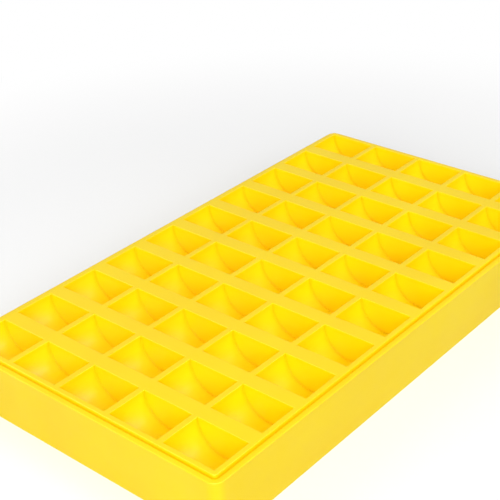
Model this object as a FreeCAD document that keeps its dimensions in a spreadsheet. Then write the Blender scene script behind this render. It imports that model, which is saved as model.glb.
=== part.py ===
"""Stackable coin tray: one moulded piece with a grid of half-round troughs, each for a roll of coins on edge.

Frame: X across the columns, Y along the rows, Z up, origin at the middle of the foot. Millimetres.
"""
import FreeCAD, Part
import os
import Sketcher

# Driving sizes: name, value, what it is
DRIVING = (
    ("coin_diameter", 25.0, "largest coin that the troughs are made for"),
    ("coin_thickness", 1.85, "one coin, on edge in the trough"),
    ("coins_per_trough", 10, "length of one roll"),
    ("side_play", 0.7, "coin diameter to trough width"),
    ("roll_play", 0.6, "roll length to trough length"),
    ("columns", 5, "troughs across"),
    ("rows", 10, "troughs along"),
    ("rib_width", 2.8, "top of the rib between two columns"),
    ("band_width", 7.5, "top of the band between two rows"),
    ("rim_width", 2.4, "top of the rim outside the outer troughs"),
    ("straight_side", 0.65, "upright side of a trough above its half round"),
    ("trough_wall", 1.2, "wall under the half round"),
    ("end_wall", 1.5, "wall at each end of a trough"),
    ("deck", 2.0, "skin of the bands and of the ledge"),
    ("skirt_wall", 2.4, "wall of the skirt"),
    ("step_height", 1.5, "step that the next tray's skirt goes round"),
    ("stack_play", 0.6, "step to the inside of that skirt"),
    ("headroom", 0.3, "top of the coins to the tray stacked above"),
    ("draft_degrees", 0.8, "slope of the skirt, wider at the foot"),
    ("step_corner", 1.6, "upright corners of the step"),
    ("edge_round", 0.5, "rounding of the outer top edges"),
    ("overshoot", 1.0, "how far a cut runs past the face that it opens"),
)

# Sizes that follow from the driving ones
DERIVED = (
    ("trough_across", "coin_diameter + side_play"),
    ("trough_along", "coins_per_trough * coin_thickness + roll_play"),
    ("pitch_across", "trough_across + rib_width"),
    ("pitch_along", "trough_along + band_width"),
    ("field_across", "columns * pitch_across - rib_width"),
    ("field_along", "rows * pitch_along - band_width"),
    ("step_across", "field_across + 2 * rim_width"),
    ("step_along", "field_along + 2 * rim_width"),
    ("ledge_width", "skirt_wall + stack_play"),
    ("ledge_across", "step_across + 2 * ledge_width"),
    ("ledge_along", "step_along + 2 * ledge_width"),
    ("ledge_height", "coin_diameter + trough_wall + headroom"),
    ("full_height", "ledge_height + step_height"),
    ("hollow_across", "ledge_across - 2 * skirt_wall"),
    ("hollow_along", "ledge_along - 2 * skirt_wall"),
    ("hollow_height", "ledge_height - deck"),
    ("hollow_cut", "hollow_height + overshoot"),
    ("skirt_corner", "step_corner + ledge_width"),
    ("hollow_corner", "skirt_corner - skirt_wall"),
    ("band_hollow_height", "full_height - deck"),
    ("band_hollow_cut", "step_height + overshoot"),
    ("band_hollow_across", "step_across - 2 * skirt_wall"),
    ("band_hollow_along", "band_width - 2 * end_wall"),
    ("cut_top", "full_height + overshoot"),
    ("spring_height", "full_height - straight_side"),
    ("trough_radius", "trough_across / 2"),
    ("shell_radius", "trough_radius + trough_wall"),
    ("shell_along", "trough_along + 2 * end_wall"),
    ("bands", "rows - 1"),
    ("columns_extent", "(columns - 1) * pitch_across"),
    ("rows_extent", "(rows - 1) * pitch_along"),
    ("bands_extent", "(bands - 1) * pitch_along"),
    ("first_across", "-columns_extent / 2"),
    ("first_trough_end", "-(rows_extent + trough_along) / 2"),
    ("first_shell_end", "first_trough_end - end_wall"),
    ("first_band", "-bands_extent / 2"),
)

# Two heights closer than this are the same one
SAME = 0.01

doc = FreeCAD.newDocument("coin_tray")

# The sheet of sizes, which every feature is bound to
sheet = doc.addObject("Spreadsheet::Sheet", "sizes")
for line, (name, value, note) in enumerate(DRIVING, start=1):
    sheet.set(f"A{line}", name)
    sheet.set(f"B{line}", str(value))
    sheet.set(f"C{line}", note)
    sheet.setAlias(f"B{line}", name)
for line, (name, formula) in enumerate(DERIVED, start=len(DRIVING) + 1):
    sheet.set(f"A{line}", name)
    sheet.set(f"B{line}", "=" + formula)
    sheet.setAlias(f"B{line}", name)
doc.recompute()


def size(name):
    """A value of the sheet, for the first drawing of a sketch and for picking edges."""
    return float(sheet.get(name))


def bind(feature, **sizes):
    """Bind properties of a feature to the sheet, by the name of a size."""
    for path, name in sizes.items():
        feature.setExpression(path, f"{sheet.Name}.{name}")


def origin_item(body, role):
    return next(item for item in body.Origin.OriginFeatures if item.Role == role)


def level_sketch(body, name, height, y=None):
    """A sketch in a level plane at a height, its origin moved along Y where a size is given."""
    sketch = body.newObject("Sketcher::SketchObject", name)
    sketch.AttachmentSupport = [(origin_item(body, "XY_Plane"), "")]
    sketch.MapMode = "FlatFace"
    sketch.setExpression("AttachmentOffset.Base.z", f"{sheet.Name}.{height}")
    if y:
        sketch.setExpression("AttachmentOffset.Base.y", f"{sheet.Name}.{y}")
    return sketch


def upright_sketch(body, name, x, y):
    """A sketch in an upright plane across the tray, its origin at x and y, its own y along Z."""
    sketch = body.newObject("Sketcher::SketchObject", name)
    sketch.AttachmentSupport = [(origin_item(body, "XZ_Plane"), "")]
    sketch.MapMode = "FlatFace"
    sketch.setExpression("AttachmentOffset.Base.x", f"{sheet.Name}.{x}")
    sketch.setExpression("AttachmentOffset.Base.z", f"-{sheet.Name}.{y}")
    return sketch


def dimension(sketch, label, name, *constraint):
    """A distance or radius of a sketch, bound to the sheet."""
    number = sketch.addConstraint(Sketcher.Constraint(*constraint, size(name)))
    sketch.renameConstraint(number, label)
    sketch.setExpression(f"Constraints.{label}", f"{sheet.Name}.{name}")


def rectangle(sketch, across, along):
    """A rectangle about the sketch's origin."""
    half_x = size(across) / 2
    half_y = size(along) / 2
    corners = [
        FreeCAD.Vector(-half_x, -half_y),
        FreeCAD.Vector(half_x, -half_y),
        FreeCAD.Vector(half_x, half_y),
        FreeCAD.Vector(-half_x, half_y),
    ]
    for number in range(4):
        sketch.addGeometry(Part.LineSegment(corners[number], corners[(number + 1) % 4]))
    for number in range(4):
        sketch.addConstraint(Sketcher.Constraint("Coincident", number, 2, (number + 1) % 4, 1))
        kind = "Horizontal" if number % 2 == 0 else "Vertical"
        sketch.addConstraint(Sketcher.Constraint(kind, number))
    sketch.addConstraint(Sketcher.Constraint("Symmetric", 0, 1, 2, 1, -1, 1))
    dimension(sketch, "across", across, "DistanceX", 0, 1, 0, 2)
    dimension(sketch, "along", along, "DistanceY", 1, 1, 1, 2)


def half_round(sketch, radius, top):
    """A half round about the sketch's x = 0, with upright sides from the spring line to the top."""
    reach = size(radius)
    spring = size("spring_height")
    lid = size(top)
    left_top = FreeCAD.Vector(-reach, lid)
    left_spring = FreeCAD.Vector(-reach, spring)
    right_spring = FreeCAD.Vector(reach, spring)
    right_top = FreeCAD.Vector(reach, lid)
    bottom = FreeCAD.Vector(0, spring - reach)
    sketch.addGeometry(Part.LineSegment(left_top, left_spring))
    sketch.addGeometry(Part.Arc(left_spring, bottom, right_spring))
    sketch.addGeometry(Part.LineSegment(right_spring, right_top))
    sketch.addGeometry(Part.LineSegment(right_top, left_top))
    for side, start, end in ((0, 2, 1), (2, 1, 2)):
        sketch.addConstraint(Sketcher.Constraint("Vertical", side))
        sketch.addConstraint(Sketcher.Constraint("Tangent", side, start, 1, end))
    sketch.addConstraint(Sketcher.Constraint("Coincident", 2, 2, 3, 1))
    sketch.addConstraint(Sketcher.Constraint("Coincident", 3, 2, 0, 1))
    sketch.addConstraint(Sketcher.Constraint("Horizontal", 3))
    sketch.addConstraint(Sketcher.Constraint("PointOnObject", 1, 3, -2))
    dimension(sketch, "radius", radius, "Radius", 1)
    dimension(sketch, "spring", "spring_height", "DistanceY", -1, 1, 1, 3)
    dimension(sketch, "top", top, "DistanceY", -1, 1, 3, 1)


def corner_edges(shape, low, high):
    """Names of the upright corner edges that run from one height to another."""
    found = []
    for number, edge in enumerate(shape.Edges, start=1):
        box = edge.BoundBox
        if abs(box.ZMin - low) < SAME and abs(box.ZMax - high) < SAME:
            found.append(f"Edge{number}")
    return found


def level_edges(shape, height, across, along):
    """Names of the edges at a height that lie outside a rectangle about the middle."""
    found = []
    for number, edge in enumerate(shape.Edges, start=1):
        box = edge.BoundBox
        level = abs(box.ZMin - size(height)) < SAME and abs(box.ZMax - size(height)) < SAME
        middle = edge.CenterOfMass
        outside = abs(middle.x) > size(across) / 2 + SAME or abs(middle.y) > size(along) / 2 + SAME
        if level and outside:
            found.append(f"Edge{number}")
    return found


def rounded(body, name, base, edges, radius):
    feature = body.newObject("PartDesign::Fillet", name)
    feature.Base = (base, edges)
    bind(feature, Radius=radius)
    return feature


def grid(body, name, original, first, second=None):
    """Copies of a feature along one or two axes: each is an axis, a count and first to last copy."""
    pattern = body.newObject("PartDesign::LinearPattern", name)
    pattern.Originals = [original]
    pattern.Direction = (origin_item(body, first[0]), [""])
    bind(pattern, Occurrences=first[1], Length=first[2])
    if second:
        pattern.Direction2 = (origin_item(body, second[0]), [""])
        bind(pattern, Occurrences2=second[1], Length2=second[2])
    body.Tip = pattern
    doc.recompute()


COLUMNS = ("X_Axis", "columns", "columns_extent")
ROWS = ("Y_Axis", "rows", "rows_extent")
BANDS = ("Y_Axis", "bands", "bands_extent")


# The block: a drafted skirt with a step on its top
body = doc.addObject("PartDesign::Body", "coin_tray")
body.Label = "coin_tray"

skirt_outline = level_sketch(body, "skirt_outline", "ledge_height")
rectangle(skirt_outline, "ledge_across", "ledge_along")
skirt = body.newObject("PartDesign::Pad", "skirt")
skirt.Profile = skirt_outline
skirt.Reversed = True
bind(skirt, Length="ledge_height", TaperAngle="draft_degrees")
doc.recompute()
corners = corner_edges(skirt.Shape, 0, size("ledge_height"))
rounded(body, "skirt_corners", skirt, corners, "skirt_corner")

step_outline = level_sketch(body, "step_outline", "ledge_height")
rectangle(step_outline, "step_across", "step_along")
step = body.newObject("PartDesign::Pad", "step")
step.Profile = step_outline
bind(step, Length="step_height")
doc.recompute()
corners = corner_edges(step.Shape, size("ledge_height"), size("full_height"))
block = rounded(body, "step_corners", step, corners, "step_corner")
doc.recompute()
ledge_loop = level_edges(block.Shape, "ledge_height", "step_across", "step_along")
top_loop = level_edges(block.Shape, "full_height", "field_across", "field_along")
rounded(body, "outer_edges", block, ledge_loop + top_loop, "edge_round")

# The hollow underside, as wide as the skirt's inside
hollow_outline = level_sketch(body, "hollow_outline", "hollow_height")
rectangle(hollow_outline, "hollow_across", "hollow_along")
hollow = body.newObject("PartDesign::Pocket", "hollow")
hollow.Profile = hollow_outline
bind(hollow, Length="hollow_cut", TaperAngle="draft_degrees")
doc.recompute()
corners = corner_edges(hollow.Shape, 0, size("hollow_height"))
rounded(body, "hollow_corners", hollow, corners, "hollow_corner")

# The shells of the troughs, seen from below
shell_outline = upright_sketch(body, "shell_outline", "first_across", "first_shell_end")
half_round(shell_outline, "shell_radius", "full_height")
shell = body.newObject("PartDesign::Pad", "shell")
shell.Profile = shell_outline
shell.Reversed = True
bind(shell, Length="shell_along")
doc.recompute()
grid(body, "shells", shell, COLUMNS, ROWS)

# The hollow under each band, between the end walls of two rows
band_outline = level_sketch(body, "band_outline", "band_hollow_height", "first_band")
rectangle(band_outline, "band_hollow_across", "band_hollow_along")
band_hollow = body.newObject("PartDesign::Pocket", "band_hollow")
band_hollow.Profile = band_outline
bind(band_hollow, Length="band_hollow_cut")
doc.recompute()
grid(body, "band_hollows", band_hollow, BANDS)

# The troughs
trough_outline = upright_sketch(body, "trough_outline", "first_across", "first_trough_end")
half_round(trough_outline, "trough_radius", "cut_top")
trough = body.newObject("PartDesign::Pocket", "trough")
trough.Profile = trough_outline
bind(trough, Length="trough_along")
doc.recompute()
grid(body, "troughs", trough, COLUMNS, ROWS)

# Every object has to be sound before the piece is written
for item in doc.Objects:
    if "Invalid" in item.State or "Error" in item.State:
        raise SystemExit(f"{item.Name} did not compute: {item.State}")
if body.Shape.isNull() or not body.Shape.isValid():
    raise SystemExit(f"{body.Label} has no sound shape")

os.makedirs("parts", exist_ok=True)
body.Shape.exportStep(f"parts/{body.Label}.step")
box = body.Shape.optimalBoundingBox(False, False)
print(f"{body.Label}: {box.XLength:.2f} x {box.YLength:.2f} x {box.ZLength:.2f} mm, "
      f"{body.Shape.Volume / 1000:.1f} cm3, {len(body.Shape.Solids)} solid, {len(body.Shape.Faces)} faces")
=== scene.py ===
# %% [markdown]
# # A coin tray, moulded in one piece of yellow plastic
#
# The tray has fifty half-round troughs that each take one roll on its side. It stands on a skirt,
# carries a step round its top for the next tray, and is hollow below, where the troughs show as round
# bellies. All of it is one moulding, so all of it is modelled as one closed mesh.
#
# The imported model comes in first. It says where the tray is and how large, and it stays as it is.

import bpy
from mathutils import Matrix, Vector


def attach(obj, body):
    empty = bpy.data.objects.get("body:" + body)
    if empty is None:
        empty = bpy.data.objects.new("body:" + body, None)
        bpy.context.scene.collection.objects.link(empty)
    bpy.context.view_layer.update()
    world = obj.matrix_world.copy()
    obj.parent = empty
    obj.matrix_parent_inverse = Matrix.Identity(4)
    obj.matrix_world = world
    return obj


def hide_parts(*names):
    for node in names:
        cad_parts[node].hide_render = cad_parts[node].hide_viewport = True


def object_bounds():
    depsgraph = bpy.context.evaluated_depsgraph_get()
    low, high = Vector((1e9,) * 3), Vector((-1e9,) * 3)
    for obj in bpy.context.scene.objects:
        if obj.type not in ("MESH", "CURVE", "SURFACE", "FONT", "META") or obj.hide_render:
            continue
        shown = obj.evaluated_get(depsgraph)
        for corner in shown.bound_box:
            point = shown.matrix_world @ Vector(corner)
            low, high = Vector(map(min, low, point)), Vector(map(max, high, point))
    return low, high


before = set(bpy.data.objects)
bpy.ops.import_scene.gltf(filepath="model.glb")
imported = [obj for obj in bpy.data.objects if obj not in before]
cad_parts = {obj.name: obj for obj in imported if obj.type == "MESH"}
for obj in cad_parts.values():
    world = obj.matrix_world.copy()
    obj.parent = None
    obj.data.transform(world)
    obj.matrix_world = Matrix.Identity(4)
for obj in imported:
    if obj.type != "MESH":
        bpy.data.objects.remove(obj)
cad_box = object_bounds()
print("nodes:", list(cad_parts), "box:", cad_box)

# %% [markdown]
# ## Sizes
#
# Blender works in metres and a maker of small mouldings in millimetres, so each size is written in
# millimetres and turned to metres once. The sizes of the troughs set nearly all the others: a pitch is
# a trough and the plastic beside it, and the tray is its troughs, its pitches and a rim.

# %% Sizes of the tray
import math

import bmesh
import bpy
from mathutils import Vector

MM = 0.001

COLUMNS = 5
ROWS = 10
TROUGH_ACROSS = 25.7 * MM
TROUGH_ALONG = 19.1 * MM
RIB = 2.8 * MM
BAND = 7.5 * MM
RIM = 2.4 * MM
STRAIGHT_SIDE = 0.65 * MM
TROUGH_WALL = 1.2 * MM
END_WALL = 1.5 * MM
DECK = 2.0 * MM
SKIRT_WALL = 2.4 * MM
STACK_PLAY = 0.6 * MM
STEP_HEIGHT = 1.5 * MM
STEP_CORNER = 1.6 * MM
GROOVE_WIDTH = 0.5 * MM
GROOVE_DEPTH = 0.6 * MM
DRAFT = math.radians(0.8)

PITCH_ACROSS = TROUGH_ACROSS + RIB
PITCH_ALONG = TROUGH_ALONG + BAND
STEP_ACROSS = COLUMNS * PITCH_ACROSS - RIB + 2 * RIM
STEP_ALONG = ROWS * PITCH_ALONG - BAND + 2 * RIM
TOP = cad_box[1][2]
LEDGE = TOP - STEP_HEIGHT
LEDGE_WIDTH = SKIRT_WALL + STACK_PLAY
CEILING = LEDGE - DECK
CHANNEL_CEILING = TOP - DECK

column_places = [(number - (COLUMNS - 1) / 2) * PITCH_ACROSS for number in range(COLUMNS)]
row_places = [(number - (ROWS - 1) / 2) * PITCH_ALONG for number in range(ROWS)]
print(f"step {STEP_ACROSS / MM:.1f} x {STEP_ALONG / MM:.1f} mm, {COLUMNS * ROWS} troughs")

# %% [markdown]
# ## The deck
#
# The deck is flat, with round corners and fifty openings. A boolean could punch the openings out of a
# box, but it leaves long thin triangles that spoil the shading. Cutting a flat sheet along every line
# of openings with bisect_plane leaves clean rectangles instead, and the openings are simply the
# rectangles that are taken away.

# %% Cut the deck
WELD = 0.001 * MM
CORNER_STEPS = 6
ROUND_PROFILE = 0.5


def cut(bm, axis, places, faces_wanted):
    """Cut the wanted faces of a mesh across one axis at each place."""
    across = Vector([1.0 if number == axis else 0.0 for number in range(3)])
    for place in places:
        faces = [face for face in bm.faces if faces_wanted(face)]
        # Neighbours share corners and edges, and as the keys of a dict each of them is there once.
        once_each = dict.fromkeys(item for face in faces for item in (*face.verts, *face.edges, face))
        bmesh.ops.bisect_plane(bm, geom=list(once_each), dist=WELD, plane_co=across * place, plane_no=across)


def level_at(height):
    """A test for faces that lie level at a height."""
    return lambda face: all(abs(vert.co.z - height) < WELD for vert in face.verts)


def both_sides(places, reach):
    """The places a reach before and after each of some places."""
    return [place + side * reach for place in places for side in (-1, 1)]


tray = bmesh.new()
# A grid's size is half its width, so this sheet starts 1 by 1 and is then stretched to the step.
bmesh.ops.create_grid(tray, x_segments=1, y_segments=1, size=0.5)
bmesh.ops.scale(tray, vec=(STEP_ACROSS, STEP_ALONG, 1.0), verts=tray.verts)
bmesh.ops.translate(tray, vec=(0.0, 0.0, TOP), verts=tray.verts)
bmesh.ops.bevel(tray, geom=tray.verts[:], offset=STEP_CORNER, offset_type="OFFSET", segments=CORNER_STEPS,
                profile=ROUND_PROFILE, affect="VERTICES", material=-1)
cut(tray, 0, both_sides(column_places, TROUGH_ACROSS / 2), level_at(TOP))
cut(tray, 1, both_sides(row_places, TROUGH_ALONG / 2), level_at(TOP))


def over_cell(face):
    """Whether a face has its middle at the middle of one of the troughs."""
    middle = face.calc_center_bounds()
    by_column = any(abs(middle.x - place) < WELD for place in column_places)
    return by_column and any(abs(middle.y - place) < WELD for place in row_places)


openings = [face for face in tray.faces if over_cell(face)]
print("deck:", len(tray.faces), "rectangles,", len(openings), "of them openings")
bmesh.ops.delete(tray, geom=openings, context="FACES")

# %% [markdown]
# ## One trough, fifty times
#
# A roll on its side lies best in a half round a little wider than itself, between two flat ends. The
# round could be a cut-down cylinder. Here one straight edge is spun about the trough's axis, which
# gives the wall alone, with its faces in a row, and a short pull at each side makes the upright part
# above the round. An edge across the open top closes each end's outline, so that it can be filled.

# %% Spin a trough and copy it to every opening
ROUND_STEPS = 28


def parts(geometry, kind):
    """The vertices, edges or faces alone, out of what a bmesh operator gives back."""
    return [item for item in geometry if isinstance(item, kind)]


def pull(bm, edges, move):
    """Extrude edges and move what is new, and give back the new edges."""
    new = bmesh.ops.extrude_edge_only(bm, edges=edges)["geom"]
    bmesh.ops.translate(bm, vec=move, verts=parts(new, bmesh.types.BMVert))
    return parts(new, bmesh.types.BMEdge)


def lengthwise_edge(bm, x, z, length):
    """A new straight edge along Y about y = 0."""
    ends = [bm.verts.new((x, y, z)) for y in (-length / 2, length / 2)]
    return bm.edges.new(ends)


def swing_under(bm, edge, axis_height, angle, steps):
    """Spin an edge about an axis along Y, down and under it, and give back the last edge."""
    swung = bmesh.ops.spin(bm, geom=[edge, *edge.verts], cent=(0.0, 0.0, axis_height), axis=(0.0, -1.0, 0.0),
                           dvec=(0.0, 0.0, 0.0), angle=angle, steps=steps, use_merge=False)
    return parts(swung["geom_last"], bmesh.types.BMEdge)


def close_ends(bm, first, last, length):
    """Fill the two flat ends between the first and the last lengthwise edge of a half round."""
    for y in (-length / 2, length / 2):
        rims = [next(v for v in edge.verts if abs(v.co.y - y) < WELD) for edge in (first, last)]
        bm.edges.new(rims)
        outline = [e for e in bm.edges if all(abs(v.co.y - y) < WELD for v in e.verts)]
        bmesh.ops.edgeloop_fill(bm, edges=outline)


def copy_to_cells(bm, single):
    """Add a copy of a small mesh at each trough's place and weld it in."""
    source = bpy.data.meshes.new("single")
    single.to_mesh(source)
    for x in column_places:
        for y in row_places:
            old = set(bm.verts)
            bm.from_mesh(source)
            bmesh.ops.translate(bm, vec=(x, y, 0.0), verts=[v for v in bm.verts if v not in old])
    bpy.data.meshes.remove(source)
    bmesh.ops.remove_doubles(bm, verts=bm.verts, dist=WELD)


spring = TOP - STRAIGHT_SIDE
trough = bmesh.new()
first = lengthwise_edge(trough, -TROUGH_ACROSS / 2, TOP, TROUGH_ALONG)
side = pull(trough, [first], (0.0, 0.0, -STRAIGHT_SIDE))
swung = swing_under(trough, side[0], spring, math.pi, ROUND_STEPS)
last = pull(trough, swung, (0.0, 0.0, STRAIGHT_SIDE))
close_ends(trough, first, last[0], TROUGH_ALONG)
copy_to_cells(tray, trough)
print("one trough:", len(trough.faces), "faces; deck with all:", len(tray.faces))
trough.free()

# %% [markdown]
# ## Step, ledge, skirt and foot
#
# The wall of the tray is one strip of plastic that turns its corners: down the step, through a fine
# groove at its foot, out along the ledge, down the skirt, in under the foot and up inside. The groove
# is the dark line that the photo shows all round under the rim. Each turn is one more extrusion of the
# open edge. Scaling the edge would stretch the round corners, so each vertex is instead laid out along
# its own outward direction, which runs from the nearest point between the centres of the corners. The
# skirt leans out by the draft that lets it leave its mould.

# %% Lay the wall round the deck
CORNER_CENTRE = Vector((STEP_ACROSS / 2 - STEP_CORNER, STEP_ALONG / 2 - STEP_CORNER))


def inner_point(point):
    """The point nearest to a point on the rectangle between the centres of the step's corners."""
    return Vector([max(-limit, min(limit, value)) for limit, value in zip(CORNER_CENTRE, point)])


def lay_ring(bm, out, height):
    """Extrude the open edge to a ring that lies out from the step's outline, at a height."""
    rim = [edge for edge in bm.edges if edge.is_boundary]
    new = bmesh.ops.extrude_edge_only(bm, edges=rim)["geom"]
    for vert in parts(new, bmesh.types.BMVert):
        inside = inner_point(vert.co)
        outward = (vert.co.xy - inside).normalized()
        place = inside + outward * (STEP_CORNER + out)
        vert.co = (place.x, place.y, height)


lean = math.tan(DRAFT) * LEDGE
lay_ring(tray, 0.0, LEDGE - GROOVE_DEPTH)
lay_ring(tray, GROOVE_WIDTH, LEDGE - GROOVE_DEPTH)
lay_ring(tray, GROOVE_WIDTH, LEDGE)
lay_ring(tray, LEDGE_WIDTH, LEDGE)
lay_ring(tray, LEDGE_WIDTH + lean, 0.0)
lay_ring(tray, LEDGE_WIDTH + lean - SKIRT_WALL, 0.0)
lay_ring(tray, LEDGE_WIDTH - SKIRT_WALL, CEILING)
print("with its wall:", len(tray.faces), "faces")

# %% [markdown]
# ## The underside
#
# Below, a moulder leaves no thick plastic: every wall follows the one above it at a small distance.
# So the ceiling of the hollow carries the troughs' bellies, and a shallow channel runs under each band.
# The same steps make it: fill the open edge, cut it where the bellies begin, swap rectangles for
# bellies, and push the strips between the rows up.

# %% Fill the ceiling and hang the bellies
BELLY_STEPS = 24
BELLY_RADIUS = TROUGH_ACROSS / 2 + TROUGH_WALL
BELLY_ALONG = TROUGH_ALONG + 2 * END_WALL

belly_drop = spring - CEILING
belly_reach = math.sqrt(BELLY_RADIUS ** 2 - belly_drop ** 2)
belly_turn = 2 * math.acos(belly_drop / BELLY_RADIUS)

open_edge = [edge for edge in tray.edges if edge.is_boundary]
bmesh.ops.edgeloop_fill(tray, edges=open_edge)
cut(tray, 0, both_sides(column_places, belly_reach), level_at(CEILING))
cut(tray, 1, both_sides(row_places, BELLY_ALONG / 2), level_at(CEILING))
bellies_go_here = [face for face in tray.faces if level_at(CEILING)(face) and over_cell(face)]
bmesh.ops.delete(tray, geom=bellies_go_here, context="FACES")

belly = bmesh.new()
first = lengthwise_edge(belly, -belly_reach, CEILING, BELLY_ALONG)
last = swing_under(belly, first, spring, belly_turn, BELLY_STEPS)
close_ends(belly, first, last[0], BELLY_ALONG)
copy_to_cells(tray, belly)
belly.free()
print("bellies:", len(bellies_go_here), "each", round(2 * belly_reach / MM, 2), "mm wide at the ceiling")

# %% [markdown]
# ## Channels under the bands
#
# The bands between the rows would be 3.5 mm thick without a channel below them, and would sink in as
# the plastic cools. Each channel runs from wall to wall of the step, so its ends are cut first, through
# the ceiling and through the flat ends of the bellies that it shares an edge with.

# %% Push the channels up
CHANNEL_ACROSS = STEP_ACROSS - 2 * SKIRT_WALL
BELLY_ENDS = both_sides(row_places, BELLY_ALONG / 2)


def ceiling_or_belly_end(face):
    """Whether a face lies level at the ceiling or stands upright at the end of a belly."""
    upright = any(all(abs(vert.co.y - end) < WELD for vert in face.verts) for end in BELLY_ENDS)
    return level_at(CEILING)(face) or upright


def under_band(face):
    """Whether a face of the ceiling lies under a band, between the walls of the step."""
    middle = face.calc_center_bounds()
    between = any(abs(middle.y - (place + PITCH_ALONG / 2)) < WELD for place in row_places[:-1])
    return level_at(CEILING)(face) and between and abs(middle.x) < CHANNEL_ACROSS / 2


cut(tray, 0, [-CHANNEL_ACROSS / 2, CHANNEL_ACROSS / 2], ceiling_or_belly_end)
strips = [face for face in tray.faces if under_band(face)]
pushed = bmesh.ops.extrude_face_region(tray, geom=strips)["geom"]
bmesh.ops.translate(tray, vec=(0.0, 0.0, CHANNEL_CEILING - CEILING), verts=parts(pushed, bmesh.types.BMVert))
bmesh.ops.recalc_face_normals(tray, faces=tray.faces)
CM = 10 * MM
print("channels:", ROWS - 1, "plastic:", round(tray.calc_volume() / CM ** 3, 1), "cm3")

# %% [markdown]
# ## Rounding
#
# No moulding has a knife edge. The plastic doesn't quite fill the mould's sharpest corners, and what is
# gripped has to be smooth. Light catches these roundings, and they draw the lines of the tray in a
# picture. A Bevel modifier would round every edge by one size. The bevel operator takes a list of edges,
# so each kind of edge gets its own size: most along the step, the shoulder and the bellies, least at the
# fine groove. The folds inside the troughs stay sharp, because a rounding there draws a bright line that
# the photo lacks.

# %% Round the edges
SHARP = math.radians(30)
SOFT_STEPS = 3


def soften(bm, radius, wanted):
    """Round the sharp edges whose ends both pass a test, and say how many there were."""
    turning = [edge for edge in bm.edges if len(edge.link_faces) == 2 and edge.calc_face_angle() > SHARP]
    edges = [edge for edge in turning if all(wanted(vert.co) for vert in edge.verts)]
    bmesh.ops.bevel(bm, geom=edges, offset=radius, offset_type="OFFSET", segments=SOFT_STEPS,
                    profile=ROUND_PROFILE, affect="EDGES", clamp_overlap=True, material=-1)
    return len(edges)


def within(value, places, reach):
    """Whether a value lies no further than a reach from one of some places."""
    return any(abs(value - place) < reach + WELD for place in places)


def on_trough_rim(point):
    """Whether a point is a corner of an opening in the deck."""
    across = within(point.x, column_places, TROUGH_ACROSS / 2)
    along = within(point.y, row_places, TROUGH_ALONG / 2)
    return across and along and abs(point.z - TOP) < WELD


def on_ring(out, height):
    """A test for points on a ring at a height, a reach out from the step's outline."""
    def test(point):
        reach = (point.xy - inner_point(point)).length - STEP_CORNER
        return abs(point.z - height) < WELD and abs(reach - out) < WELD
    return test


def on_belly_arc(point):
    """Whether a point is on the round edge at an end of a belly."""
    return within(point.y, BELLY_ENDS, 0.0) and point.z < CEILING - WELD


ROUNDINGS = {
    "trough rims": (0.3 * MM, on_trough_rim),
    "top of the step": (0.4 * MM, on_ring(0.0, TOP)),
    "edge of the groove": (0.15 * MM, on_ring(GROOVE_WIDTH, LEDGE)),
    "shoulder": (0.4 * MM, on_ring(LEDGE_WIDTH, LEDGE)),
    "foot outside": (0.3 * MM, on_ring(LEDGE_WIDTH + lean, 0.0)),
    "foot inside": (0.3 * MM, on_ring(LEDGE_WIDTH + lean - SKIRT_WALL, 0.0)),
    "ends of the bellies": (0.4 * MM, on_belly_arc),
}
for kind, (radius, wanted) in ROUNDINGS.items():
    print("rounded", soften(tray, radius, wanted), "edges:", kind)
print("open edges left:", sum(not edge.is_manifold for edge in tray.edges))

# %% [markdown]
# ## From mesh to piece
#
# All faces are shaded smooth, so that the half rounds look round, and the edges that still turn sharply
# are marked sharp. Along a rounding, smooth shading bends the light on the flat faces beside it too. The
# Weighted Normal modifier gives the large faces the say, which keeps the deck looking flat right up to
# its rims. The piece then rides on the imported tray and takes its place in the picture.

# %% Make the tray an object
tray_mesh = bpy.data.meshes.new("tray")
tray.to_mesh(tray_mesh)
tray.free()
tray_mesh.shade_smooth()
tray_mesh.set_sharp_from_angle(angle=SHARP)

tray_piece = bpy.data.objects.new("tray", tray_mesh)
bpy.context.scene.collection.objects.link(tray_piece)
flat = tray_piece.modifiers.new("flat_faces_stay_flat", "WEIGHTED_NORMAL")
flat.keep_sharp = True

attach(tray_piece, "root")
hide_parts("coin_tray")
print("tray:", len(tray_mesh.polygons), "faces")

# %% [markdown]
# ## The plastic
#
# Trays like this are injection moulded in ABS that is coloured through with a yellow masterbatch. There
# is nothing metallic in it, so it reflects like any plastic: a clear, colourless sheen that is weak from
# above and strong at a low angle. An IOR of 1.53 gives that. The mould is finished fine and not mirror
# bright, so the sheen is broad, and the roughness lies near 0.34.
#
# Colours are picked as sRGB hex and turned linear once, because shaders count light and not screen
# values. One helper adds a node, sets it and links it, which keeps each material readable from top to
# bottom.

# %% Helpers for materials


def linear(hex_colour):
    """An sRGB hex colour as the linear RGBA that shaders take, by the formula of the sRGB standard."""
    channels = [int(hex_colour[at:at + 2], 16) / 255 for at in (1, 3, 5)]
    return [c / 12.92 if c <= 0.04045 else ((c + 0.055) / 1.055) ** 2.4 for c in channels] + [1.0]


def add(tree, kind, inputs=None, links=None, **settings):
    """Add a node, set its own settings and its inputs' values, and link inputs to other nodes' outputs."""
    node = tree.nodes.new(kind)
    for name, value in settings.items():
        setattr(node, name, value)
    for name, value in (inputs or {}).items():
        node.inputs[name].default_value = value
    for name, socket in (links or {}).items():
        tree.links.new(socket, node.inputs[name])
    return node


def empty_material(name):
    """A new material, and its node tree with nothing in it."""
    material = bpy.data.materials.new(name)
    material.use_nodes = True
    material.node_tree.nodes.clear()
    return material, material.node_tree


YELLOW = "#FFDF00"
print("yellow in linear light:", [round(channel, 3) for channel in linear(YELLOW)])

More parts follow.
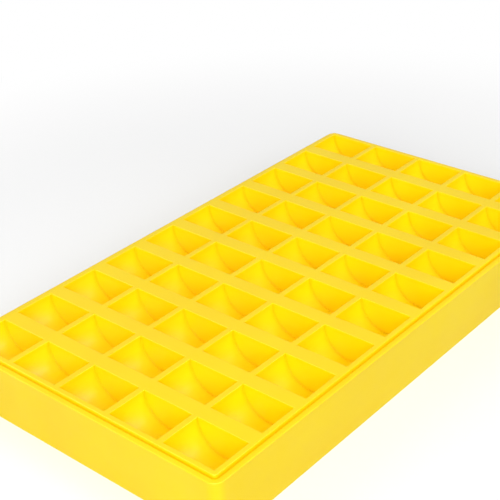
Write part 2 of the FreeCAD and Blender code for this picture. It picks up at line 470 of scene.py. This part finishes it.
# %% [markdown]
# ## A colour with streaks, and painted shade in the folds
#
# Masterbatch isn't stirred in quite evenly. It leaves faint streaks along the flow of the plastic, which
# runs the long way of the tray. A noise that is stretched that way gives the streaks, and a colour ramp
# keeps them between two yellows that are hard to tell apart. The noise reads the tray's own coordinates
# in metres, so a pattern's scale is one over its real size.
#
# Where the round of a trough meets its flat end, and in the groove below the step, the photo shows a
# soft darker line, because little light gets in and what comes out has met the yellow several times.
# That shade is painted into the colour: a darker yellow is mixed in where Ambient Occlusion finds a
# fold. It tells how open the space is within a short reach of each point, from 1 on a flat face to
# about a half in a square corner.

# %% Colour of the plastic
PALER_YELLOW = "#FBD600"
# Painted shade: the next yellow stands in for the shade in the troughs' folds and in the groove.
FOLD_SHADE_YELLOW = "#F8CE00"
STREAK = 40.0 * MM
STRETCH = 0.3
FOLD_REACH = 2.4 * MM
OPEN = 0.95
SQUARE_CORNER = 0.5
# Nearly all of a noise lies between these two values, so what it drives starts and ends there.
NOISE_LOW = 0.3
NOISE_HIGH = 0.7

yellow_abs, tree = empty_material("abs_yellow")
on_tray = add(tree, "ShaderNodeTexCoord").outputs["Object"]

along_flow = add(tree, "ShaderNodeMapping", {"Scale": (1.0, STRETCH, 1.0)}, {"Vector": on_tray})
streaks = add(tree, "ShaderNodeTexNoise", {"Scale": 1 / STREAK, "Detail": 3.0},
              {"Vector": along_flow.outputs[0]})
colour = add(tree, "ShaderNodeValToRGB", links={"Fac": streaks.outputs[0]})
ramp = colour.color_ramp.elements
ramp[0].position = NOISE_LOW
ramp[0].color = linear(PALER_YELLOW)
ramp[1].position = NOISE_HIGH
ramp[1].color = linear(YELLOW)

# Painted shade: the yellow darkens where Ambient Occlusion finds a fold or a corner.
openness = add(tree, "ShaderNodeAmbientOcclusion", {"Distance": FOLD_REACH}, samples=8, only_local=True)
painted_shade_amount = add(tree, "ShaderNodeMapRange", {"From Min": OPEN, "From Max": SQUARE_CORNER},
              {"Value": openness.outputs["AO"]})
# The sockets of a colour mix go by number: 0 is the factor, 6 and 7 are the colours, and 2 is the result.
with_painted_shade = add(tree, "ShaderNodeMix", {7: linear(FOLD_SHADE_YELLOW)},
                 {0: painted_shade_amount.outputs[0], 6: colour.outputs[0]}, data_type="RGBA")
print("streaks:", round(STREAK / MM), "mm wide and", round(STREAK / STRETCH / MM), "mm long")

# %% [markdown]
# ## A surface with gloss, waves and grain
#
# Three more things keep a moulding from looking like paint. Use has polished some patches more than
# others, which shows as a change of gloss. The plastic shrinks over the troughs' walls, which
# leaves long, very low waves. And the mould was eroded by sparks, which leaves a fine grain. Waves and
# grain could be real geometry, but they are less than a tenth of a millimetre high, so Bump nodes only
# tilt the light. The second takes the first one's normal, and so the grain lies on the waves.

# %% Surface of the plastic
SMOOTHEST = 0.29
ROUGHEST = 0.40
POLISHED = 15.0 * MM
WAVE = 24.0 * MM
WAVE_HEIGHT = 0.06 * MM
# The real grain is near 0.1 mm, which is finer than a pixel, so it is drawn coarser.
GRAIN = 0.7 * MM
GRAIN_HEIGHT = 0.01 * MM

patches = add(tree, "ShaderNodeTexNoise", {"Scale": 1 / POLISHED, "Detail": 4.0}, {"Vector": on_tray})
gloss = add(tree, "ShaderNodeMapRange",
            {"From Min": NOISE_LOW, "From Max": NOISE_HIGH, "To Min": SMOOTHEST, "To Max": ROUGHEST},
            {"Value": patches.outputs[0]})

waves = add(tree, "ShaderNodeTexNoise", {"Scale": 1 / WAVE, "Detail": 1.0}, {"Vector": on_tray})
shrunk = add(tree, "ShaderNodeBump", {"Strength": 1.0, "Distance": WAVE_HEIGHT}, {"Height": waves.outputs[0]})
grain = add(tree, "ShaderNodeTexNoise", {"Scale": 1 / GRAIN, "Detail": 2.0}, {"Vector": on_tray})
eroded = add(tree, "ShaderNodeBump", {"Strength": 1.0, "Distance": GRAIN_HEIGHT},
             {"Height": grain.outputs[0], "Normal": shrunk.outputs[0]})

IOR_ABS = 1.53
shader = add(tree, "ShaderNodeBsdfPrincipled", {"IOR": IOR_ABS},
             {"Base Color": with_painted_shade.outputs[2], "Roughness": gloss.outputs[0],
              "Normal": eroded.outputs[0]})
add(tree, "ShaderNodeOutputMaterial", links={"Surface": shader.outputs[0]})
tray_mesh.materials.append(yellow_abs)
print("plastic:", len(tree.nodes), "nodes, roughness", SMOOTHEST, "to", ROUGHEST)

# %% [markdown]
# ## The floor
#
# The tray stands on a wide sheet of paper that runs far back.

# %% Lay the paper
FLOOR_REACH = 3.0

paper_bm = bmesh.new()
bmesh.ops.create_grid(paper_bm, x_segments=1, y_segments=1, size=FLOOR_REACH)
paper_mesh = bpy.data.meshes.new("paper")
paper_bm.to_mesh(paper_mesh)
paper_bm.free()
paper = bpy.data.objects.new("paper", paper_mesh)
bpy.context.scene.collection.objects.link(paper)
print("paper:", 2 * FLOOR_REACH, "m wide")

# %% [markdown]
# ## The tone of the paper
#
# Paper is matt, so a Diffuse shader is enough. Its tone is a matter of what looks at it. To the camera it
# is white. To the tray it is a darker table, as in a studio where only the ground behind the object is
# lit bright, or the yellow would wash out from below. Light Path tells the two apart. Further back the
# camera sees plain white that needs no lamp, and close to the tray the paper keeps the tray's shadow.

# %% White paper
TABLE_TONE = 0.35
MIRRORED_TONE = 0.62
PAPER_TONE = 0.97
SHADOW_REACH = 0.17
WHITE_FROM = 0.38
WHITE = linear("#FFFFFF")

white_paper, tree = empty_material("white_paper")
ray = add(tree, "ShaderNodeLightPath")
mirrored = add(tree, "ShaderNodeMath", {1: MIRRORED_TONE - TABLE_TONE, 2: TABLE_TONE},
               {0: ray.outputs["Is Glossy Ray"]}, operation="MULTIPLY_ADD")
seen = add(tree, "ShaderNodeMath", {1: PAPER_TONE}, {0: ray.outputs["Is Camera Ray"]}, operation="MULTIPLY")
tone = add(tree, "ShaderNodeMath", links={0: mirrored.outputs[0], 1: seen.outputs[0]}, operation="MAXIMUM")
matt = add(tree, "ShaderNodeBsdfDiffuse", links={"Color": tone.outputs[0]})

on_floor = add(tree, "ShaderNodeTexCoord").outputs["Object"]
away = add(tree, "ShaderNodeVectorMath", links={0: on_floor}, operation="LENGTH")
far = add(tree, "ShaderNodeMapRange", {"From Min": SHADOW_REACH, "From Max": WHITE_FROM},
          {"Value": away.outputs["Value"]}, interpolation_type="SMOOTHSTEP")
seen_far = add(tree, "ShaderNodeMath", links={0: far.outputs[0], 1: ray.outputs["Is Camera Ray"]},
               operation="MULTIPLY")
white = add(tree, "ShaderNodeEmission", {"Color": WHITE, "Strength": 1.0})
both = add(tree, "ShaderNodeMixShader",
           links={0: seen_far.outputs[0], 1: matt.outputs[0], 2: white.outputs[0]})
add(tree, "ShaderNodeOutputMaterial", links={"Surface": both.outputs[0]})
paper_mesh.materials.append(white_paper)
print("paper: plain white from", WHITE_FROM, "m out")

# %% [markdown]
# ## The light of the room
#
# A white room lights the tray evenly from all round, which keeps the far sides from going dark. The
# camera sees it as white, and the plastic's sheen mirrors a glow that is brighter than the light that
# the room gives, as the white cards round a product do.

# %% The room
ROOM_LIGHT = 0.22
ROOM_SHEEN = 0.36

room = bpy.data.worlds.new("white_room")
bpy.context.scene.world = room
room.use_nodes = True
tree = room.node_tree
tree.nodes.clear()
ray = add(tree, "ShaderNodeLightPath")
sheen = add(tree, "ShaderNodeMath", {1: ROOM_SHEEN, 2: ROOM_LIGHT}, {0: ray.outputs["Is Glossy Ray"]},
            operation="MULTIPLY_ADD")
strength = add(tree, "ShaderNodeMath", links={0: ray.outputs["Is Camera Ray"], 1: sheen.outputs[0]},
               operation="MAXIMUM")
walls = add(tree, "ShaderNodeBackground", {"Color": WHITE}, {"Strength": strength.outputs[0]})
add(tree, "ShaderNodeOutputWorld", links={"Surface": walls.outputs[0]})
print("room: light", ROOM_LIGHT, "mirrored as", round(ROOM_LIGHT + ROOM_SHEEN, 2))

# %% [markdown]
# ## The lamps
#
# A yellow this strong shows its shape by small changes of tone, so the light is soft and comes from large
# round softboxes: one in front, low enough to reach the flat ends of the troughs, a weaker one on each
# side, and a small lamp high on the right that draws the rims. A lamp's light falls with the square of
# its distance, so each lamp is given as its share of the light that would show a white sheet as white,
# and its power is worked out from that. The rule is exact for a small lamp, and a wide one gives a
# little less.

# %% The lamps
LAMP_DISTANCE = 2.0
# Each lamp: the direction it stands in, its share of the light, and its width in metres.
LAMPS = {
    "softbox_front": ((0.42, -0.71, 0.56), 1.06, 2.0),
    "softbox_left": ((-0.75, -0.35, 0.45), 0.30, 2.0),
    "softbox_right": ((0.80, 0.05, 0.50), 0.31, 2.0),
    "lamp_right": ((0.65, 0.26, 0.71), 0.13, 0.6),
}

for name, (direction, share, width) in LAMPS.items():
    lamp_data = bpy.data.lights.new(name, "AREA")
    lamp_data.shape = "DISK"
    lamp_data.size = width
    lamp_data.energy = share * math.pi ** 2 * LAMP_DISTANCE ** 2
    lamp = bpy.data.objects.new(name, lamp_data)
    lamp.location = Vector(direction).normalized() * LAMP_DISTANCE
    lamp.rotation_euler = (-lamp.location).to_track_quat("-Z", "Y").to_euler()
    bpy.context.scene.collection.objects.link(lamp)
    print(name, "at", [round(value, 2) for value in lamp.location], "m,", round(lamp_data.energy, 1), "W")

# %% [markdown]
# ## The camera
#
# The photo looks at the tray's nearest corner from a little over half a metre away and some thirty
# degrees above the table, through a portrait lens. The place, the angles and the lens were solved from
# the grid of openings: the fifty openings are all alike and evenly spaced, so their corners in the
# picture leave only one view. The small turn about the second axis is the photo's own tilt.

# %% The camera
LENS_MM = 85.2
SENSOR_MM = 36.0
CAMERA_PLACE = (0.300984, -0.364105, 0.303218)
CAMERA_DEGREES = (60.502, 2.413, 40.308)

camera_data = bpy.data.cameras.new("camera")
camera_data.lens = LENS_MM
camera_data.sensor_width = SENSOR_MM
camera = bpy.data.objects.new("camera", camera_data)
camera.location = CAMERA_PLACE
camera.rotation_euler = [math.radians(angle) for angle in CAMERA_DEGREES]
bpy.context.scene.collection.objects.link(camera)
bpy.context.scene.camera = camera
bpy.context.scene.view_settings.view_transform = "Standard"
print("camera:", round(camera.location.length, 3), "m from the middle of the foot")
